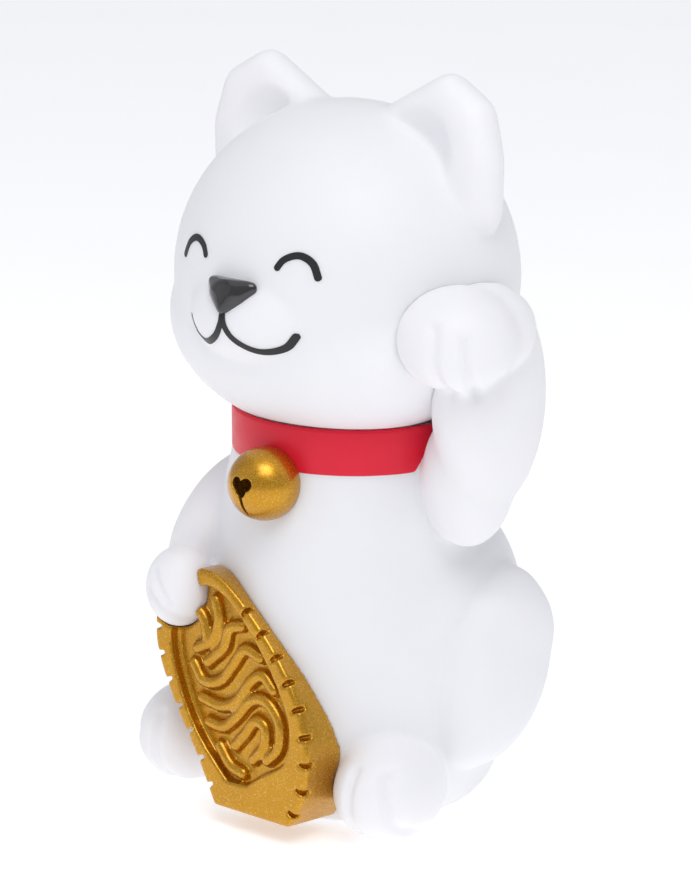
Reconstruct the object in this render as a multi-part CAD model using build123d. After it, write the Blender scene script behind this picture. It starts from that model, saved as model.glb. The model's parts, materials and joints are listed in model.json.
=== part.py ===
from build123d import *
import os
from math import radians, tan

os.makedirs("parts", exist_ok=True)

# A soft vinyl beckoning cat, a night light about 147 mm tall, in millimetres.
# The cat faces -Y and its raised arm is on +X. The origin is the centre of the foot ring,
# on the table. The vinyl cat lifts straight off the light unit that plugs into its base.

# Fits and walls
vinyl_wall = 2.2
body_gap = 0.3  # between bodies that move
glue_gap = 0.05  # between pieces of one body
case_wall = 1.2

# The cat's own forms: (centre), (half widths), (tilt about X, Y, Z)
sole_z = 0.3
torso_profile = [(25, 0.3), (27.2, 3), (29, 7), (30.6, 13), (31.5, 20), (31.6, 28), (30.9, 36)]
torso_profile += [(29.6, 44), (28.4, 50), (26.8, 58), (25.2, 66), (24, 72)]
socket_height = 9
thigh = ((29.8, 4.5, 24.5), (10.8, 14.5, 22.5), (-24, 0, 0))
foot = ((26, -20, 10.2), (10.2, 12.5, 10.2), (0, 0, 0))
raised_shoulder = ((31, -5, 72), (11, 14, 14), (0, 0, 0))
shoulder_way = ((23, -4, 63), (6, 5, 5), (0, 0, 0))  # joins the arm's hollow to the trunk's
raised_arm = ((35, -2, 80), (9, 13.5, 22), (0, 0, 0))
raised_paw = ((37, -14, 100), (11.5, 12, 10), (0, 0, 0))
lowered_arm = ((-23, -15, 54), (7, 8, 16.5), (-48, 0, 0))
lowered_paw = ((-22, -27.5, 45), (7.5, 7.5, 9), (0, 0, 0))

# Head
skull = ((0, -2.5, 105), (35.7, 33.5, 33.3), (0, 0, 0))
muzzle = ((0, -25, 102), (16, 13.8, 11), (0, 0, 0))
cheeks = ((0, -8, 97.5), (36.4, 28, 22.5), (0, 0, 0))
ear = ((21, 0, 129), (14, 7, 18), (0, 20, 0))
ear_scoop = ((20.5, -6.5, 128), (8.5, 5.2, 12.5), (0, 20, 0))

# Neck, collar and bell
neck_y = -2
neck_radius = 23.4
neck_bore = 20.6
neck_top = 79.8
collar_z = (71.2, 80.6)
collar_radius = 25.0
collar_gap_y = (-5.0, 12.0)
collar_edge = 0.6
plug_radius = 20.3
plug_wall = 1.8
plug_bottom = 72.5
bell_centre = (0, -27, 68)
bell_radius = 7.2
bell_wall = 0.8
bell_back_y = -23.0
pea_radius = 1.7

# Face: outlines as (x, z), seen from the front; eyes and mouth are one half
eye_arc = [(8.7, 112.2), (12.9, 115.1), (17.0, 110.8)]
smile = [(0, 103.8), (0.9, 100.6), (3.2, 98.0), (7.3, 96.6), (11.5, 97.9), (13.6, 100.6)]
print_width = 1.3
print_thickness = 0.3
nose_outline = [(-6.8, 109.9), (0, 111.0), (6.8, 109.9), (0, 102.9)]
nose_corner = 1.5
nose_form = ((0, -34.4, 107.4), (8.4, 4.8, 6.4), (0, 0, 0))

# Gold coin: a thick slanted oval with a flat bottom, leaning back on the belly, as (x, z)
coin_foot_y = -37.5  # front face where it would meet the table
coin_lean = 5.7  # degrees
coin_corners = [(14.4, 3.8), (-5.0, 3.8)]
coin_side = [(-9.4, 13.0), (-16.0, 23.2), (-21.6, 33.4), (-21.6, 42.2), (-16.2, 48.6), (-7.6, 49.4)]
coin_side += [(3.9, 41.4), (13.0, 31.4), (17.9, 20.4), (17.5, 10.4)]
coin_middle = (-2.0, 26.0)
coin_depth = 22
coin_rim = 3.6
coin_field_depth = 1.8
ridge_width = 1.8
ridge_height = 1.2
coin_waves = [
    [(-13.0, 40.5), (-10.0, 37.0), (-5.5, 38.5), (-2.6, 38.0)],
    [(-13.8, 33.0), (-9.0, 29.5), (-3.5, 32.8), (3.4, 31.5)],
    [(-10.5, 25.0), (-5.5, 22.2), (0.5, 27.0), (7.6, 25.5)],
    [(-6.0, 16.5), (-1.5, 14.6), (3.5, 19.6), (8.8, 18.2)],
]

# Light unit
plate_radius = 22.6
socket_radius = plate_radius + body_gap
plate_z = (0.8, 3.0)
skirt_top = 6.5
skirt_wall = 1.4
ring_radii = (18.6, 21.0)
ring_z = (0.0, 1.6)
cover_radius = 20.4
cover_top = 23.5
cover_shoulder = 16.5
diffuser_hole = 6.4
diffuser_radius = 7.4
diffuser_wall = 1.2

# Three button cells in a row along X, in a box that opens downwards
cell_radius = 5.8
cell_length = 5.4
cell_cap = (4.9, 0.7)  # radius and height of the minus cap
cell_y = -4.0
cell_z = 8.3
box_half = (10.6, 6.1)
box_ceiling = 14.4
contact_thickness = 0.35
spring_radius = 4.0
spring_wire = 0.5
spring_turns = 3

# Battery door, hinged on two tongues at its -Y edge and held by one screw
door_half_x = 11.4
door_y = (-11.2, 3.2)
door_z = (0.8, 2.0)
door_gap = 0.25
tab_half_width = 3.6
tab_end = 9.8
tongue_x = 6.5
tongue_width = 4.0
tongue_reach = 1.3
door_screw_y = 6.6

# Screws as (shank radius, shank length, head radius, head height)
cover_screw = (1.0, 6.0, 1.9, 1.1)
board_screw = (0.8, 3.2, 1.6, 0.9)
door_screw = (1.0, 3.2, 1.8, 0.9)
cover_screw_xy = [(-14.8, -5), (14.8, -5), (-11.4, 12.2), (11.4, 12.2)]
boss_radius = 2.4

# Electronics
board_size = (24, 17, 1.0)
board_z = 17.2
board_y = -1.0
board_screw_xy = [(-9.2, 1.4), (8.6, -7.4)]
led_radius = 2.5
led_height = 8.6
led_pitch = 2.54
switch_xy = (1.5, 15.4)
switch_size = (8.6, 4.4, 4.0)
switch_travel = 3.0
knob_size = (2.4, 2.0)
switch_pin_pitch = 2.5
lead_radius = 0.5


def egg(form, grow=0.0, mirrored=False):
    """An ellipsoid from (centre, half widths, tilt), optionally larger or mirrored across X."""
    (x, y, z), (a, b, c), (rx, ry, rz) = form
    side = -1 if mirrored else 1
    halves = [Rotation(0, 0, turn) * Sphere(1, arc_size3=180, align=None) for turn in (0, 180)]
    ball = Part() + [scale(half, by=(a + grow, b + grow, c + grow)) for half in halves]
    return Location((side * x, y, z), (rx, side * ry, side * rz)) * ball


def pair(form, grow=0.0):
    return egg(form, grow) + egg(form, grow, mirrored=True)


def block(x, y, z):
    """A box, each axis given as (low, high)."""
    size = [high - low for low, high in (x, y, z)]
    middle = [(high + low) / 2 for low, high in (x, y, z)]
    return Pos(*middle) * Box(*size)


def below(z):
    return block((-60, 60), (-60, 60), (-40, z))


def rod(radius, z0, z1, x=0.0, y=0.0):
    return Pos(x, y, (z0 + z1) / 2) * Cylinder(radius, z1 - z0)


def tube(outer, inner, z0, z1, x=0.0, y=0.0):
    return rod(outer, z0, z1, x, y) - rod(inner, z0 - 1, z1 + 1, x, y)


def turned(curve, corners, smooth=True):
    """A solid of revolution about Z: a curve of (radius, z) points closed through the corners."""
    side = Spline(*curve) if smooth else Polyline(*curve)
    return revolve(Plane.XZ * make_face(side + Polyline(curve[-1], *corners, curve[0])), Axis.Z)


def front_prism(sketch, y0, y1):
    """A sketch drawn as (x, z), seen from the front, extruded from y0 back to y1."""
    return Pos(0, y0, 0) * extrude(Plane.XZ * sketch, y1 - y0, dir=(0, 1, 0))


def stroke(points, width):
    """A round-ended band along a smooth line of (x, z) points."""
    band = trace(Spline(*points), width)
    for point in (points[0], points[-1]):
        band = band + Pos(*point) * Circle(width / 2)
    return band


def mirror_x(points):
    return [(-x, z) for x, z in points]


# The cat


def torso():
    return turned(torso_profile, [(0, torso_profile[-1][1]), (0, torso_profile[0][1])])


def torso_hollow(top):
    """The trunk's inside: a straight socket for the light unit, then the outside less the wall."""
    curve = [(socket_radius, socket_height)]
    curve += [(r - vinyl_wall, z) for r, z in torso_profile if 13 <= z < top]
    return turned(curve, [(0, curve[-1][1]), (0, -1), (socket_radius, -1)], smooth=False)


def head_form(grow=0.0):
    return egg(skull, grow) + egg(cheeks, grow) + egg(muzzle, grow)


def collar_band(grow=0.0):
    low, high = collar_z
    inner = neck_radius + glue_gap - grow
    band = tube(collar_radius + grow, inner, low - grow, high + grow, 0, neck_y)
    if not grow:
        rims = band.edges().filter_by(GeomType.CIRCLE).sort_by(SortBy.RADIUS)[-2:]
        band = fillet(rims, collar_edge)
    return band - block((15, 40), (collar_gap_y[0] + grow, collar_gap_y[1] - grow), (60, 90))


def bell_ball(grow=0.0):
    ball = Pos(*bell_centre) * Rotation(90, 0, 0) * Sphere(bell_radius + grow)
    return ball - block((-20, 20), (bell_back_y + grow, 0), (50, 90))


def make_bell():
    """A hollow jingle bell, flat behind: a round hole in front and a slit below it."""
    x, y, z = bell_centre
    inside = Pos(x, y, z) * Rotation(90, 0, 0) * Sphere(bell_radius - bell_wall)
    slit = block((-0.5, 0.5), (y - 9, y), (z - 9, z))
    hole = Pos(x, y - 6, z) * Rotation(90, 0, 0) * Cylinder(1.3, 6)
    return bell_ball() - inside - slit - hole


def make_bell_pea():
    """The loose steel pea at the bottom of the bell, beside the slit."""
    x, y, z = bell_centre
    return Pos(x, y + 0.5, z - bell_radius + bell_wall + pea_radius + 0.2) * Sphere(pea_radius)


def make_body_shell():
    arms = egg(raised_shoulder) + egg(raised_arm) + egg(raised_paw)
    arms = arms - egg(skull, 3 * glue_gap) - egg(cheeks, 3 * glue_gap)
    outer = torso() + pair(thigh) + pair(foot) + arms + egg(lowered_arm) + egg(lowered_paw)
    outer = outer + rod(neck_radius, 60, neck_top, 0, neck_y) - below(sole_z)
    outer = outer - collar_band(glue_gap) - bell_ball(glue_gap)
    limbs = pair(thigh, -vinyl_wall) + pair(foot, -vinyl_wall) + egg(raised_shoulder, -vinyl_wall)
    limbs = limbs + egg(raised_arm, -vinyl_wall) + egg(lowered_arm, -vinyl_wall)
    limbs = limbs - egg(skull, vinyl_wall) - egg(cheeks, vinyl_wall) - below(sole_z + vinyl_wall)
    limbs = limbs - tube(collar_radius + 2 * vinyl_wall, neck_bore, 68, 90, 0, neck_y)
    hollow = torso_hollow(70) + limbs + egg(shoulder_way) + rod(neck_bore, 60, 90, 0, neck_y)
    return outer - hollow


def make_head_shell():
    outer = head_form() + pair(ear) - pair(ear_scoop) - below(neck_top + glue_gap)
    hollow = egg(skull, -vinyl_wall) - below(neck_top + vinyl_wall)
    plug = tube(plug_radius, plug_radius - plug_wall, plug_bottom, neck_top + 1, 0, neck_y)
    way = rod(plug_radius - plug_wall, plug_bottom - 1, neck_top + 9, 0, neck_y)
    return outer - hollow - way + plug - collar_band(glue_gap)


def make_nose():
    shape = fillet(Polygon(*nose_outline, align=None).vertices(), nose_corner)
    return front_prism(shape, -45, -28) & egg(nose_form) - head_form(glue_gap)


def make_print(sketch):
    """A thin film of ink that follows the head."""
    film = head_form(print_thickness) - head_form(0.01)
    return film & front_prism(sketch, -45, -20)


def coin_outline(inset=0.0):
    """The coin's outline, each point drawn in towards the middle."""
    middle = Vector(*coin_middle)
    points = [Vector(*point) for point in (coin_corners[1], *coin_side, coin_corners[0])]
    points = [point + (middle - point).normalized() * inset for point in points]
    return make_face(Spline(*points) + Line(points[-1], points[0]))


def make_coin():
    """The coin: a raised rim, a sunk field and plain wavy ridges across it."""
    solid = front_prism(coin_outline(), 0, coin_depth)
    solid = solid - front_prism(coin_outline(coin_rim), -1, coin_field_depth)
    for wave in coin_waves:
        ridge = stroke(wave, ridge_width)
        solid = solid + front_prism(ridge, coin_field_depth - ridge_height, coin_field_depth + 0.5)
    solid = Pos(0, coin_foot_y, 0) * Rotation(-coin_lean, 0, 0) * solid
    side = [(r + 3 * glue_gap, z) for r, z in torso_profile]
    belly = turned(side, [(0, side[-1][1]), (0, -5), (side[0][0], -5)])
    solid = solid - belly - egg(lowered_paw, 3 * glue_gap) - egg(lowered_arm, 3 * glue_gap)
    return solid - pair(foot, 3 * glue_gap)


# The light unit


def screw(size, x, y, z, way=1):
    """A pan-head screw with a cross recess; z is the underside of its head, way its direction."""
    shank_radius, shank_length, head_radius, head_height = size
    shank = rod(shank_radius, *sorted((0, way * shank_length)))
    head = rod(head_radius, *sorted((0, -way * head_height)))
    recess = tuple(sorted((-way * (head_height + 1), -way * head_height * 0.45)))
    arm, slot = (-head_radius * 0.6, head_radius * 0.6), (-0.22, 0.22)
    return Pos(x, y, z) * (shank + head - block(arm, slot, recess) - block(slot, arm, recess))


def screws(size, places, z, way=1):
    return Compound([screw(size, x, y, z, way) for x, y in places])


def box_y(grow=0.0):
    return cell_y - box_half[1] - grow, cell_y + box_half[1] + grow


def tongue_span(side, grow=0.0):
    half = tongue_width / 2 + grow
    return side * tongue_x - half, side * tongue_x + half


def make_base_plate():
    low, high = plate_z
    half_x = box_half[0]
    plate = rod(plate_radius, low, high)
    plate = plate + tube(plate_radius, plate_radius - skirt_wall, low, skirt_top)
    plate = plate - tube(ring_radii[1] + 0.02, ring_radii[0] - 0.02, -1, ring_z[1])
    # battery box, open below
    wall_x = half_x + case_wall
    outside = block((-wall_x, wall_x), box_y(case_wall), (low, box_ceiling + case_wall))
    plate = plate + fillet(outside.edges().filter_by(Axis.Z), 1.0)
    plate = plate - block((-half_x, half_x), box_y(), (0, box_ceiling))
    # recess for the door and its tab, and the screw's boss
    grow = door_gap
    seat_top = door_z[1] + grow
    half_door, half_tab = door_half_x + grow, tab_half_width + grow
    recess_y = (door_y[0] - grow, door_y[1] + grow)
    plate = plate - block((-half_door, half_door), recess_y, (0, seat_top))
    plate = plate - block((-half_tab, half_tab), (0, tab_end + grow), (0, seat_top))
    plate = plate + block((-5.2, 5.2), (box_y(case_wall)[1] - 0.4, tab_end + 1.4), (seat_top, high + 0.8))
    plate = plate + rod(boss_radius, high, 8, 0, door_screw_y)
    plate = plate - rod(door_screw[0] + 0.4, 0, 7, 0, door_screw_y)
    # pockets for the door's tongues
    for side in (-1, 1):
        span = tongue_span(side, grow)
        plate = plate - block(span, (door_y[0] - 2.2, door_y[0] + 1), (door_z[0] + 0.65, high + 1))
        plate = plate - block(span, (box_y(case_wall)[0] - 0.1, box_y()[0] + 1), (high - 0.5, 5.4))
    # slots for the contact tabs, posts for the board, holes for the cover's screws
    for side in (-1, 1):
        x = side * (half_x - 0.2)
        slot_y = (cell_y - 1.7, cell_y + 1.7)
        plate = plate - block((x - 0.5, x + 0.5), slot_y, (box_ceiling - 1, box_ceiling + 3))
    for x, y in board_screw_xy:
        plate = plate + rod(1.8, box_ceiling, board_z, x, y)
        plate = plate - rod(board_screw[0] + 0.02, board_z - 2.6, board_z + 1, x, y)
    for x, y in cover_screw_xy:
        plate = plate - rod(cover_screw[0] + 0.15, 0, 4, x, y)
        plate = plate - rod(cover_screw[2] + 0.2, 0, low + cover_screw[3] + 0.1, x, y)
    # window for the switch knob and two rails that hold the switch
    sx, sy = switch_xy
    reach = switch_travel / 2 + knob_size[0] / 2 + 0.3
    plate = plate - block((sx - reach, sx + reach), (sy - 1.3, sy + 1.3), (0, high + 1))
    for side in (-1, 1):
        near = sx + side * (switch_size[0] / 2 + glue_gap)
        rail = tuple(sorted((near, near + side)))
        plate = plate + block(rail, (sy - 2.0, sy + 2.0), (high - 0.5, high + 2.6))
    return plate


def make_foot_ring():
    ring = tube(ring_radii[1], ring_radii[0], *ring_z)
    return chamfer(ring.edges().group_by(Axis.Z)[0], 0.3)


def cover_form(inset):
    r, top = cover_radius - inset, cover_top - inset
    curve = [(r, cover_shoulder), (r - 0.8, cover_shoulder + 2.6), (r - 4, top - 1.6)]
    curve += [(r - 9, top - 0.2), (r - 11, top)]
    return turned(curve, [(0, top), (0, plate_z[1] - inset), (r, plate_z[1] - inset)])


def make_unit_cover():
    """The upper housing: a low dome with screw bosses and a hole for the diffuser."""
    shell = cover_form(0) - cover_form(case_wall)
    shell = shell - rod(diffuser_hole, cover_top - 6, cover_top + 2)
    for x, y in cover_screw_xy:
        shell = shell + (rod(boss_radius, plate_z[1], 21, x, y) & cover_form(0.2))
        shell = shell - rod(cover_screw[0] + 0.02, 0, plate_z[1] + cover_screw[1], x, y)
    return shell


def make_diffuser():
    """A frosted dome with a short collar that sits in the cover's hole."""
    dome = Pos(0, 0, cover_top + 0.6) * Sphere(diffuser_radius) - below(cover_top + glue_gap)
    collar = rod(diffuser_hole - glue_gap, cover_top - 2.5, cover_top + 1)
    inside = Pos(0, 0, cover_top + 0.6) * Sphere(diffuser_radius - diffuser_wall)
    bore = rod(diffuser_radius - diffuser_wall - 1.2, cover_top - 3, cover_top + 2)
    return dome + collar - (inside - below(cover_top + 0.2)) - bore


def cell_place(n):
    """Middle of cell n, counted from +X, where the plus leaf is."""
    first = box_half[0] - contact_thickness - glue_gap - cell_length / 2
    return first - n * (cell_length + glue_gap)


def make_cell(n):
    """One button cell along X: a can with its plus face to +X and a smaller minus cap."""
    cap_radius, cap_height = cell_cap
    can_length = cell_length - cap_height
    can = Pos(0, 0, cap_height / 2) * Cylinder(cell_radius, can_length)
    can = fillet(can.edges(), 0.4)
    cap = Pos(0, 0, (cap_height - cell_length) / 2) * Cylinder(cap_radius, cap_height)
    return Pos(cell_place(n), cell_y, cell_z) * Rotation(0, 90, 0) * (can + cap)


def contact_leaf(side):
    """A plated leaf on a box end wall with a solder tab through the ceiling and the board."""
    x = tuple(sorted((side * (box_half[0] - contact_thickness), side * (box_half[0] - 0.01))))
    leaf = block(x, (cell_y - 4.6, cell_y + 4.6), (3.6, box_ceiling - 0.4))
    tab_top = board_z + board_size[2] + 0.8
    return leaf + block(x, (cell_y - 1.2, cell_y + 1.2), (box_ceiling - 1, tab_top))


def make_contact_spring():
    """A short coil between the minus leaf and the last cell."""
    leaf_x = -box_half[0] + contact_thickness
    cell_x = cell_place(2) - cell_length / 2
    length = cell_x - leaf_x - spring_wire - 2 * glue_gap
    path = Helix(length / spring_turns, length, spring_radius)
    coil = sweep(Plane(path @ 0, z_dir=path % 0) * Circle(spring_wire / 2), path, is_frenet=True)
    return Pos(leaf_x + spring_wire / 2 + glue_gap, cell_y, cell_z) * Rotation(0, 90, 0) * coil


def make_battery_door():
    low, high = door_z
    back, front = door_y
    door = block((-door_half_x, door_half_x), door_y, door_z)
    tab = block((-tab_half_width, tab_half_width), (front - 1, tab_end), door_z)
    door = door + fillet(tab.edges().filter_by(Axis.Z).group_by(Axis.Y)[-1], 2.0)
    for side in (-1, 1):
        span = tongue_span(side)
        door = door + block(span, (back - tongue_reach, back + 0.9), (low + 0.95, high + 0.4))
    # three grip grooves outside
    for n in (-1, 0, 1):
        door = door - block((n * 1.8 - 0.4, n * 1.8 + 0.4), (-2, 2.4), (0, low + 0.35))
    door = door - rod(door_screw[0] + 0.02, 0, 5, 0, door_screw_y)
    return door - rod(door_screw[2] + 0.1, 0, low + door_screw[3], 0, door_screw_y)


def make_board():
    x, y, t = board_size
    board = Pos(0, board_y, board_z + t / 2) * Box(x, y, t)
    board = fillet(board.edges().filter_by(Axis.Z), 1.2)
    holes = [(px, py, board_screw[0] + 0.2) for px, py in board_screw_xy]
    holes += [(side * led_pitch / 2, 0, 0.4) for side in (-1, 1)]
    for px, py, r in holes:
        board = board - rod(r, board_z - 1, board_z + 3, px, py)
    for side in (-1, 1):
        middle = side * (box_half[0] - 0.2)
        slot_y = (cell_y - 1.5, cell_y + 1.5)
        board = board - block((middle - 0.4, middle + 0.4), slot_y, (board_z - 1, board_z + 3))
    return board


def make_led():
    """A round-headed LED with its flange and two legs through the board."""
    seat = board_z + board_size[2] + 0.6
    lamp = rod(led_radius, seat, seat + led_height - led_radius)
    lamp = lamp + Pos(0, 0, seat + led_height - led_radius) * Sphere(led_radius)
    lamp = lamp + rod(led_radius + 0.4, seat, seat + 1.0)
    for side in (-1, 1):
        lamp = lamp + rod(0.25, board_z - 0.8, seat + 0.5, side * led_pitch / 2)
    return lamp


def make_timer_chip():
    """The timer chip: a small body with four legs on each side."""
    z = board_z + board_size[2] + glue_gap
    x0, y0 = -5.2, -3.4
    body = block((x0 - 2.5, x0 + 2.5), (y0 - 1.9, y0 + 1.9), (z + 0.15, z + 1.5))
    body = chamfer(body.edges().group_by(Axis.Z)[-1], 0.25)
    for n in range(4):
        x = x0 + (n - 1.5) * 1.27
        for side in (-1, 1):
            foot_y = tuple(sorted((y0 + side * 2.3, y0 + side * 3.0)))
            knee_y = tuple(sorted((y0 + side * 1.8, y0 + side * 2.4)))
            body = body + block((x - 0.2, x + 0.2), foot_y, (z, z + 0.22))
            body = body + block((x - 0.2, x + 0.2), knee_y, (z, z + 0.8))
    return body


def make_resistors():
    """Surface-mount resistors beside the LED."""
    z = board_z + board_size[2] + glue_gap + 0.3
    return Compound([Pos(6.2, y, z) * Box(2.0, 1.25, 0.6) for y in (-1.4, 1.0, 3.4)])


def make_switch_body():
    sx, sy = switch_xy
    x, y, z = switch_size
    low = plate_z[1] + 0.01
    body = Pos(sx, sy, low + z / 2) * Box(x, y, z)
    reach = switch_travel / 2 + knob_size[0] / 2 + 0.1
    body = body - block((sx - reach, sx + reach), (sy - 1.15, sy + 1.15), (low - 1, low + 1.6))
    for n in (-1, 0, 1):
        body = body + Pos(sx + n * switch_pin_pitch, sy, low + z + 1.0) * Box(0.8, 0.4, 2.4)
    return body


def make_switch_knob():
    """The knob at its off end, nearest to -X."""
    sx, sy = switch_xy
    x = sx - switch_travel / 2
    w, d = knob_size
    knob = block((x - w / 2, x + w / 2), (sy - d / 2, sy + d / 2), (0.6, plate_z[1] + 1.4))
    for n in (-1, 0, 1):
        knob = knob - block((x + n * 0.75 - 0.15, x + n * 0.75 + 0.15), (sy - 2, sy + 2), (0, 0.85))
    return knob


def make_lead(n):
    """An insulated lead from switch pin n up to the underside of the board."""
    x, y = switch_xy[0] + n * switch_pin_pitch, switch_xy[1]
    pin_top = plate_z[1] + switch_size[2] + 2.21
    points = [(x, y, pin_top + 0.05), (x - 0.1, y - 0.1, pin_top + 2.6), (x - 0.3, y - 2.2, 14.3)]
    points += [(x - 0.5, y - 5.4, 14.6), (x - 0.6, y - 7.4, board_z - 0.55)]
    runs = [Vector(b) - Vector(a) for a, b in zip(points, points[1:])]
    radii = []
    for first, second in zip(runs, runs[1:]):
        turn = radians(first.get_angle(second))
        radii.append(0.45 * min(first.length, second.length) / tan(turn / 2))
    path = FilletPolyline(*points, radius=radii)
    return sweep(Plane(path @ 0, z_dir=path % 0) * Circle(lead_radius), path)


low_seat = plate_z[0] + cover_screw[3] + 0.1
parts = {
    "body_shell": make_body_shell(),
    "head_shell": make_head_shell(),
    "collar": collar_band() - bell_ball(glue_gap),
    "bell": make_bell(),
    "bell_pea": make_bell_pea(),
    "nose": make_nose(),
    "eye_print_left": make_print(stroke(eye_arc, print_width)),
    "eye_print_right": make_print(stroke(mirror_x(eye_arc), print_width)),
    "mouth_print": make_print(stroke(smile, print_width) + stroke(mirror_x(smile), print_width)),
    "gold_coin": make_coin(),
    "base_plate": make_base_plate(),
    "foot_ring": make_foot_ring(),
    "unit_cover": make_unit_cover(),
    "diffuser_dome": make_diffuser(),
    "contact_spring": make_contact_spring(),
    "positive_contact": contact_leaf(1),
    "negative_contact": contact_leaf(-1),
    "battery_door": make_battery_door(),
    "door_screw": screw(door_screw, 0, door_screw_y, door_z[0] + door_screw[3]),
    "cover_screws": screws(cover_screw, cover_screw_xy, low_seat),
    "circuit_board": make_board(),
    "board_screws": screws(board_screw, board_screw_xy, board_z + board_size[2], way=-1),
    "led_lamp": make_led(),
    "timer_chip": make_timer_chip(),
    "chip_resistors": make_resistors(),
    "switch_body": make_switch_body(),
    "switch_knob": make_switch_knob(),
    "red_lead": make_lead(0),
    "black_lead": make_lead(1),
}
for n in range(3):
    parts[f"button_cell_{n + 1}"] = make_cell(n)

for name, shape in parts.items():
    export_step(shape, f"parts/{name}.step")
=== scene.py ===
import json
from math import asin, atan2, cos, degrees, pi, radians, sin

import bpy
import numpy as np
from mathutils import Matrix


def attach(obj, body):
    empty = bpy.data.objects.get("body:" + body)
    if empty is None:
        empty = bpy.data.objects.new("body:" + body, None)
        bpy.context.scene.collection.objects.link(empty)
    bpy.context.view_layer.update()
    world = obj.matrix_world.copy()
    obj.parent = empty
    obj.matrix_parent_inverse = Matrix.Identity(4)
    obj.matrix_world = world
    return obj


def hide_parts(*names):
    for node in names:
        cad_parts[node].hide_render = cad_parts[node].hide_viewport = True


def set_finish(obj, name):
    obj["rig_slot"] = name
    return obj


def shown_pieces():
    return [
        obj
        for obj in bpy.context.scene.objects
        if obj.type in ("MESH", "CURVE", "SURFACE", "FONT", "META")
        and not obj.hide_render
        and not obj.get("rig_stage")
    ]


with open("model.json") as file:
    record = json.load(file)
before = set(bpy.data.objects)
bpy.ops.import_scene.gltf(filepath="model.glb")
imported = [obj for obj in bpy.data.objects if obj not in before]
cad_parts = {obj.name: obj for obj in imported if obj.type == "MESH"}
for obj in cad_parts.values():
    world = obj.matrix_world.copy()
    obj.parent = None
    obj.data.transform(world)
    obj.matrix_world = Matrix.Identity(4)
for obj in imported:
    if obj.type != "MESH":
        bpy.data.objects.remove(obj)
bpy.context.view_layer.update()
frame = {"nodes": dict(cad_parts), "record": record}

# lengths below are in millimetres, in the CAD frame: the cat faces -Y, its raised arm is on +X
mm = 0.001
print("frame loaded,", len(frame["nodes"]), "CAD nodes")


# selecting and shaping

def deselectAll():
    if bpy.context.object and bpy.context.object.mode != "OBJECT":
        bpy.ops.object.mode_set(mode="OBJECT")
    bpy.ops.object.select_all(action="DESELECT")


def pick(*pieces):
    deselectAll()
    for piece in pieces:
        piece.select_set(True)
    bpy.context.view_layer.objects.active = pieces[0]


def place(x, y, z):
    return (x * mm, y * mm, z * mm)


def settle(name):
    # the newest object gets its name, and its place goes into its mesh
    piece = bpy.context.object
    piece.name = name
    piece.data.name = name
    pick(piece)
    bpy.ops.object.transform_apply(location=True, rotation=True, scale=True)
    return piece


def join(pieces, name):
    pick(*pieces)
    if len(pieces) > 1:
        bpy.ops.object.join()
    return settle(name)


def modify(piece, kind, **settings):
    pick(piece)
    tool = piece.modifiers.new(kind.lower(), kind)
    for setting, value in settings.items():
        setattr(tool, setting, value)
    bpy.ops.object.modifier_apply(modifier=tool.name)
    return piece


def fuse(pieces, name, voxel, rounds):
    # overlapping closed forms become one skin, and the smoothing softens where they meet
    piece = join(pieces, name)
    modify(piece, "REMESH", mode="VOXEL", voxel_size=voxel * mm)
    if rounds:
        modify(piece, "SMOOTH", factor=0.5, iterations=rounds)
    return piece


def wrap(pieces, name):
    # the smallest rounded form that holds all the pieces
    piece = join(pieces, name)
    bpy.ops.object.mode_set(mode="EDIT")
    bpy.ops.mesh.select_all(action="SELECT")
    bpy.ops.mesh.convex_hull()
    bpy.ops.object.mode_set(mode="OBJECT")
    return piece


def combine(piece, cutter, operation="DIFFERENCE"):
    modify(piece, "BOOLEAN", operation=operation, object=cutter, solver="EXACT")
    bpy.data.objects.remove(cutter)
    return piece


def editFaces(piece, wanted):
    # edit mode with only the wanted faces selected
    pick(piece)
    for part in (piece.data.vertices, piece.data.edges, piece.data.polygons):
        part.foreach_set("select", [False] * len(part))
    for face in piece.data.polygons:
        face.select = wanted(face)
    bpy.ops.object.mode_set(mode="EDIT")
    bpy.ops.mesh.select_mode(type="FACE")


def smoothShade(piece, angle=35):
    pick(piece)
    bpy.ops.object.shade_smooth_by_angle(angle=radians(angle))
    return piece


def egg(form, grow=0.0, mirrored=False, segments=64):
    # (middle), (half widths), (tilt about X, Y, Z)
    (x, y, z), (a, b, c), (tiltX, tiltY, tiltZ) = form
    side = -1 if mirrored else 1
    deselectAll()
    bpy.ops.mesh.primitive_uv_sphere_add(
        segments=segments, ring_count=segments * 5 // 8, radius=mm, location=place(side * x, y, z),
        rotation=(radians(tiltX), radians(side * tiltY), radians(side * tiltZ)),
        scale=(a + grow, b + grow, c + grow))
    return settle("egg")


def eggPair(form, grow=0.0):
    return [egg(form, grow), egg(form, grow, mirrored=True)]


def drum(radius, low, high, x=0.0, y=0.0, name="drum"):
    deselectAll()
    bpy.ops.mesh.primitive_cylinder_add(vertices=128, radius=radius * mm, depth=(high - low) * mm,
                                        location=place(x, y, (low + high) / 2))
    return settle(name)


def box(sizes, middle, name):
    deselectAll()
    bpy.ops.mesh.primitive_cube_add(size=mm, location=place(*middle))
    bpy.context.object.scale = sizes
    return settle(name)


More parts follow.
